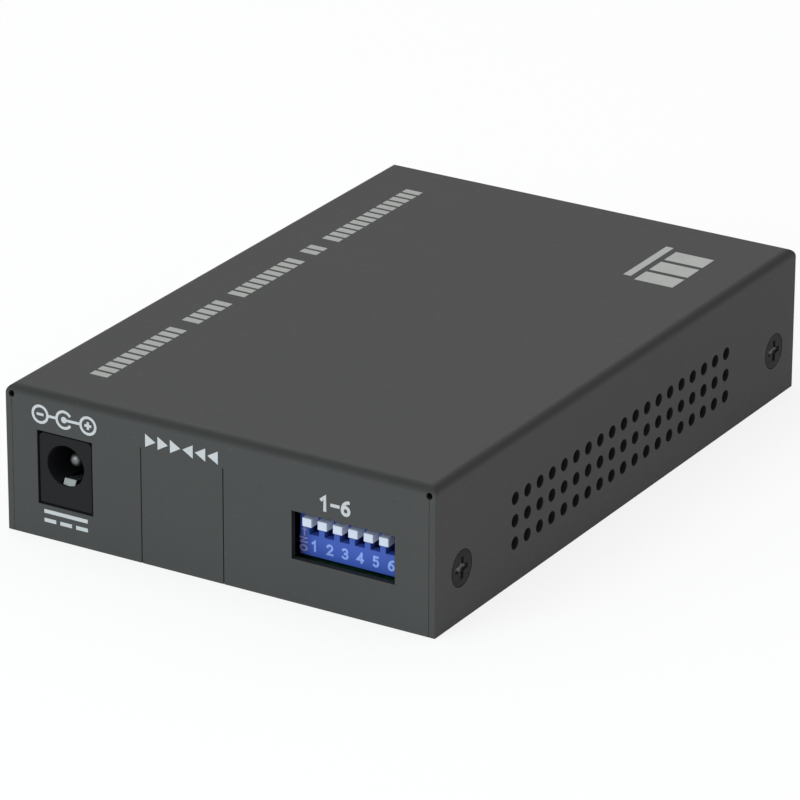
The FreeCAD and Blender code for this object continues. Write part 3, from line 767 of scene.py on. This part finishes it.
class Marks:
    def __init__(self):
        self.mesh = bmesh.new()

    def loop(self, points, height):
        return [self.mesh.verts.new((x, y, height)) for x, y in points]

    def wall(self, low, high):
        for i in range(len(low)):
            j = (i + 1) % len(low)
            self.mesh.faces.new((low[i], low[j], high[j], high[i]))

    def outline(self, points, layer=0):
        low = self.loop(points, 0)
        high = self.loop(points, printThickness + layer * printLayer)
        self.mesh.faces.new(high)
        self.mesh.faces.new(low[::-1])
        self.wall(low, high)

    def ring(self, outer, inner, layer=0):
        # between two closed outlines with as many points as each other
        high = printThickness + layer * printLayer
        loops = [self.loop(outer, 0), self.loop(outer, high)]
        loops += [self.loop(inner, high), self.loop(inner, 0)]
        for here, there in zip(loops, loops[1:] + loops[:1]):
            self.wall(here, there)

    def bar(self, x, y, width, height, layer=0):
        left, right = x - width / 2, x + width / 2
        under, over = y - height / 2, y + height / 2
        self.outline([(left, under), (right, under), (right, over), (left, over)], layer)

    def stroke(self, points, line, layer=0):
        # an even line with square ends, or a ring where the last point is the first again
        points = [Vector(point) for point in points]
        closed = (points[0] - points[-1]).length < line / 100
        if closed:
            points.pop()
        count = len(points)
        sides = ([], [])
        for i, point in enumerate(points):
            after = points[(i + 1) % count] - point if closed or i < count - 1 else point - points[i - 1]
            before = point - points[i - 1] if closed or i > 0 else after
            along = (before.normalized() + after.normalized()).normalized()
            across = Vector((-along.y, along.x))
            reach = line / 2 / max(along.dot(after.normalized()), 0.5)
            if not closed:
                point = point + along * line / 2 * ((i == count - 1) - (i == 0))
            sides[0].append(point + across * reach)
            sides[1].append(point - across * reach)
        if closed:
            self.ring(*sides, layer)
        else:
            self.outline(sides[0] + sides[1][::-1], layer)

    def write(self, text, height, line, pitch=0.0):
        for i, sign in enumerate(text):
            shift = (i - (len(text) - 1) / 2) * pitch
            for layer, points in enumerate(signs[sign]):
                self.stroke([(x * height + shift, y * height) for x, y in points], line, layer)

    def lay(self, name, origin, right, up, finish):
        out = Vector(right).cross(Vector(up))
        place = Matrix((Vector(right), Vector(up), out)).transposed().to_4x4()
        place.translation = Vector(origin)
        self.mesh.transform(place)
        bmesh.ops.recalc_face_normals(self.mesh, faces=self.mesh.faces)
        made = ofMesh(name, self.mesh)
        made.data.materials.append(finish)
        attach(made, "case")


# Points along an oval, or along the part of it between two angles in degrees
def bow(x, y, wide, tall, start=0, end=360, steps=16):
    turns = [math.radians(start + (end - start) * i / steps) for i in range(steps + 1)]
    return [(x + wide * math.cos(turn), y + tall * math.sin(turn)) for turn in turns]


# Strokes of each sign: one high, with 0 in the middle both ways
signs = {
    "1": [[(-0.24, 0.27), (0.03, 0.5), (0.03, -0.5)]],
    "2": [bow(0, 0.22, 0.28, 0.28, 165, -38) + [(-0.28, -0.5), (0.31, -0.5)]],
    "3": [bow(-0.02, 0.25, 0.26, 0.25, 150, -90), bow(-0.02, -0.25, 0.3, 0.25, 90, -150)],
    "4": [[(0.3, -0.22), (-0.36, -0.22), (0.09, 0.36)], [(0.13, 0.5), (0.13, -0.5)]],
    "5": [[(0.22, 0.5), (-0.2, 0.5), (-0.23, 0.12)], bow(-0.01, -0.18, 0.28, 0.32, 125, -140)],
    "6": [bow(0.26, -0.18, 0.54, 0.68, 95, 165), bow(0, -0.2, 0.28, 0.3)],
    "O": [bow(0, 0, 0.36, 0.5)],
    "N": [[(-0.3, -0.5), (-0.3, 0.5), (0.3, -0.5), (0.3, 0.5)]],
    "-": [[(-0.26, 0), (0.26, 0)]],
}

# Over the jack: minus outside, plus on the pin
polarity = {
    "pitch": 4.16 * mm,
    "radius": 1.28 * mm,
    "line": 0.42 * mm,
    "cross": 1.2 * mm,
    "dot": 0.5 * mm,
    "opening": 42,              # of the middle ring, in degrees to either side
    "rise": 2.85 * mm,          # over the jack's housing
}


def polarityMarks():
    marks = Marks()
    line, radius, pitch = polarity["line"], polarity["radius"], polarity["pitch"]
    for side in (-1, 1):
        marks.stroke(bow(side * pitch, 0, radius, radius, steps=32), line)
        marks.bar(side * pitch, 0, polarity["cross"], line)
    marks.bar(pitch, 0, line, polarity["cross"], layer=1)
    marks.stroke(bow(0, 0, radius, radius, polarity["opening"], 360 - polarity["opening"], 24), line)
    marks.outline(bow(0, 0, polarity["dot"], polarity["dot"], steps=20)[:-1], layer=1)
    reach = pitch - radius - line / 2
    marks.bar(reach / 2, 0, reach, line)
    marks.bar(-pitch / 2, 0, pitch - 2 * radius - line, line)
    low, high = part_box("jack_housing")
    place = ((low.x + high.x) / 2, cadBox[0].y, high.z + polarity["rise"])
    marks.lay("polarity_marks", place, (1, 0, 0), (0, 0, 1), whiteInk)


# Under the jack: a line over three dashes
directCurrent = {
    "width": 7.6 * mm,
    "line": 0.6 * mm,
    "spacing": 1.4 * mm,
    "dash": 0.27,               # share of the width
    "drop": 2.0 * mm,           # below the jack's housing
}


def directCurrentMark():
    marks = Marks()
    wide, spacing = directCurrent["width"], directCurrent["spacing"]
    marks.bar(0, spacing / 2, wide, directCurrent["line"])
    dash = wide * directCurrent["dash"]
    for step in (-1, 0, 1):
        marks.bar(step * (wide - dash) / 2, -spacing / 2, dash, directCurrent["line"])
    low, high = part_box("jack_housing")
    place = ((low.x + high.x) / 2, cadBox[0].y, low.z - directCurrent["drop"])
    marks.lay("direct_current_mark", place, (1, 0, 0), (0, 0, 1), whiteInk)


# One flat shape as a piece of its own, for copies in a row
def stamp(name, points):
    marks = Marks()
    marks.outline(points)
    bmesh.ops.recalc_face_normals(marks.mesh, faces=marks.mesh.faces)
    return ofMesh(name, marks.mesh)


# Over the flap: arrow heads that point at its middle
flapArrows = {
    "count": 6,
    "pitch": 2.12 * mm,
    "width": 1.75 * mm,
    "height": 2.05 * mm,
    "drop": 3.55 * mm,          # from the top of the cover
}


def flapMarks():
    wide, tall, pitch = flapArrows["width"], flapArrows["height"], flapArrows["pitch"]
    marks = Marks()
    for i in range(flapArrows["count"]):
        shift = (i - (flapArrows["count"] - 1) / 2) * pitch
        point = -math.copysign(wide / 2, shift)
        marks.outline([(shift - point, -tall / 2), (shift + point, 0), (shift - point, tall / 2)])
    place = (middle("backplane_socket").x, cadBox[0].y, cadBox[1].z - flapArrows["drop"])
    marks.lay("flap_arrows", place, (1, 0, 0), (0, 0, 1), whiteInk)


# Along the cover: groups of short bars, counted from the ports to the power end
coverBand = {
    "groups": (13, 2, 9, 5, 11),
    "space": 1.3,               # between groups, in bars
    "fill": 0.7,                # of a bar's share of the band
    "width": 3.0 * mm,
    "fromSide": 9.85 * mm,
    "start": 44.7 * mm,
    "end": -44.9 * mm,
}


def coverMarks():
    bars = sum(coverBand["groups"])
    spaces = coverBand["space"] * (len(coverBand["groups"]) - 1)
    pitch = (coverBand["start"] - coverBand["end"]) / (bars + spaces)
    across, along = coverBand["width"] / 2, pitch * coverBand["fill"] / 2
    piece = stamp("coverBar", [(-across, -along), (across, -along), (across, along), (-across, along)])
    at = coverBand["start"]
    places = []
    for count in coverBand["groups"]:
        for _ in range(count):
            places.append((cadBox[0].x + coverBand["fromSide"], at - pitch / 2, cadBox[1].z))
            at -= pitch
        at -= pitch * coverBand["space"]
    made = copiesOf("cover_bars", piece, places, [(0, 0, 1)] * len(places), greyInk)
    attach(made, "case")


# By the ports: three plain tiles and a rule
emblem = {
    "center": (24.7 * mm, 36.1 * mm),
    "tiles": 3,
    "tile": (6.6 * mm, 3.8 * mm),
    "pitch": 4.75 * mm,
    "rule": (1.3 * mm, 13.6 * mm),
    "ruleGap": 1.1 * mm,        # from the tiles
    "ruleShift": 1.1 * mm,      # towards the ports
}


def coverEmblem():
    marks = Marks()
    wide, tall = emblem["tile"]
    for i in range(emblem["tiles"]):
        marks.bar(0, (i - (emblem["tiles"] - 1) / 2) * emblem["pitch"], wide, tall)
    x = -(wide + emblem["rule"][0]) / 2 - emblem["ruleGap"]
    marks.bar(x, emblem["ruleShift"], *emblem["rule"])
    marks.lay("cover_emblem", (*emblem["center"], cadBox[1].z), (1, 0, 0), (0, 1, 0), emblemInk)


# On the switch and over its window: drops and rises count from the middle of the levers
numbers = {"height": 1.42 * mm, "line": 0.33 * mm, "drop": 4.35 * mm, "shift": 0.1 * mm}
onMark = {"height": 1.1 * mm, "line": 0.25 * mm, "pitch": 1.25 * mm, "shift": -1.75 * mm}
onArrow = {
    "stem": (0.24 * mm, 0.9 * mm),
    "head": (0.8 * mm, 0.6 * mm),
    "shift": -1.6 * mm,
    "drop": 2.2 * mm,
}
leverRange = {
    "height": 1.95 * mm,
    "line": 0.5 * mm,
    "pitch": 1.75 * mm,
    "shift": -1.3 * mm,         # from the middle of the switch
    "rise": 3.95 * mm,
}
levers = sorted(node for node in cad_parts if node.startswith("switch_lever_"))


def switchNumbers():
    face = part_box("switch_housing")[0].y
    for i, lever in enumerate(levers):
        marks = Marks()
        marks.write(str(i + 1), numbers["height"], numbers["line"])
        place = (middle(lever).x + numbers["shift"], face, middle(levers[0]).z - numbers["drop"])
        marks.lay(f"switch_number_{i + 1}", place, (1, 0, 0), (0, 0, 1), switchInk)


def switchOnMark():
    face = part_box("switch_housing")[0].y
    first = middle(levers[0])
    marks = Marks()
    marks.write("ON", onMark["height"], onMark["line"], onMark["pitch"])
    place = (first.x + onMark["shift"], face, first.z - numbers["drop"])
    marks.lay("switch_on_mark", place, (0, 0, 1), (-1, 0, 0), onInk)
    marks = Marks()
    marks.bar(0, -onArrow["stem"][1] / 2, *onArrow["stem"])
    wide, tall = onArrow["head"]
    marks.outline([(-wide / 2, 0), (wide / 2, 0), (0, tall)])
    place = (first.x + onArrow["shift"], face, first.z - onArrow["drop"])
    marks.lay("switch_on_arrow", place, (1, 0, 0), (0, 0, 1), onInk)


def switchRange():
    marks = Marks()
    marks.write(f"1-{len(levers)}", leverRange["height"], leverRange["line"], leverRange["pitch"])
    x = middle("switch_housing").x + leverRange["shift"]
    place = (x, cadBox[0].y, middle(levers[0]).z + leverRange["rise"])
    marks.lay("switch_range_mark", place, (1, 0, 0), (0, 0, 1), whiteInk)


polarityMarks()
directCurrentMark()
flapMarks()
coverMarks()
coverEmblem()
switchNumbers()
switchOnMark()
switchRange()
print("marks printed")


# Floor, lamps and background
studio = {
    "floorSize": 6.0,
    "floorGap": 0.02 * mm,      # keeps it off the underside of the case
    "floorColour": 0.94,
    "floorSpread": 0.01,
    "floorCloud": 0.3,
    "floorRoughness": 0.9,
    "floorGlow": 0.8,
    "skyStrength": 0.7,
    "lamps": (
        # name, place, size, watts, tint
        ("overhead", (-0.15, 0.1, 0.9), 0.9, 1.7, (1.0, 0.985, 0.95)),
        ("powerEnd", (-0.35, -1.0, 0.5), 0.7, 6.7, (0.8, 0.96, 1.0)),
    ),
}


# 1 for what the camera sees, straight or through gloss and glass
def seenDirectly(wire):
    straight = wire.node("ShaderNodeLightPath", output="Is Camera Ray")
    glossy = wire.node("ShaderNodeLightPath", output="Is Glossy Ray")
    through = wire.node("ShaderNodeLightPath", output="Is Transmission Ray")
    return wire.math("MINIMUM", straight + glossy + through, 1.0)


def layFloor():
    mesh = bmesh.new()
    half = studio["floorSize"] / 2
    corners = ((-half, -half), (half, -half), (half, half), (-half, half))
    mesh.faces.new([mesh.verts.new((x, y, -studio["floorGap"])) for x, y in corners])
    floor = ofMesh("floor", mesh)
    made = Finish("floorFinish", Roughness=studio["floorRoughness"])
    pale = studio["floorColour"]
    cloud = made.noise(studio["floorCloud"], 1.0)
    made.put("Base Color", cloud.blend(grey(pale - studio["floorSpread"]), grey(pale)))
    plain = Wire(made.tree, made.shader.outputs[0])
    glow = made.node("ShaderNodeEmission", None, {"Color": grey(1.0), "Strength": 1.0})
    lit = seenDirectly(made) * studio["floorGlow"]
    upside = made.node("ShaderNodeMixShader", None, {0: lit, 1: plain, 2: glow})
    # from below the floor is clear, so that the underside can be looked at
    fromBelow = made.node("ShaderNodeNewGeometry", output="Backfacing")
    clear = made.node("ShaderNodeBsdfTransparent")
    both = made.node("ShaderNodeMixShader", None, {0: fromBelow, 1: upside, 2: clear})
    made.tree.links.new(both.socket, made.tree.nodes["Material Output"].inputs[0])
    floor.data.materials.append(made.material)


def hangLamps():
    for name, place, size, watts, tint in studio["lamps"]:
        lamp = bpy.data.lights.new(name, "AREA")
        lamp.size = size
        lamp.energy = watts
        lamp.color = tint
        aim = Vector(place).to_track_quat("Z", "Y").to_matrix().to_4x4()
        addObject(name, lamp).matrix_world = Matrix.Translation(place) @ aim


def paintSky():
    world = bpy.data.worlds.new("studio")
    bpy.context.scene.world = world
    world.use_nodes = True
    sky = Wire(world.node_tree)
    white = grey(1.0)
    dim = sky.node("ShaderNodeBackground", None, {"Color": white, "Strength": studio["skyStrength"]})
    bright = sky.node("ShaderNodeBackground", None, {"Color": white, "Strength": 1.0})
    both = sky.node("ShaderNodeMixShader", None, {0: seenDirectly(sky), 1: dim, 2: bright})
    world.node_tree.links.new(both.socket, world.node_tree.nodes["World Output"].inputs[0])


layFloor()
hangLamps()
paintSky()
bpy.context.scene.view_settings.view_transform = "Standard"
print("studio built")
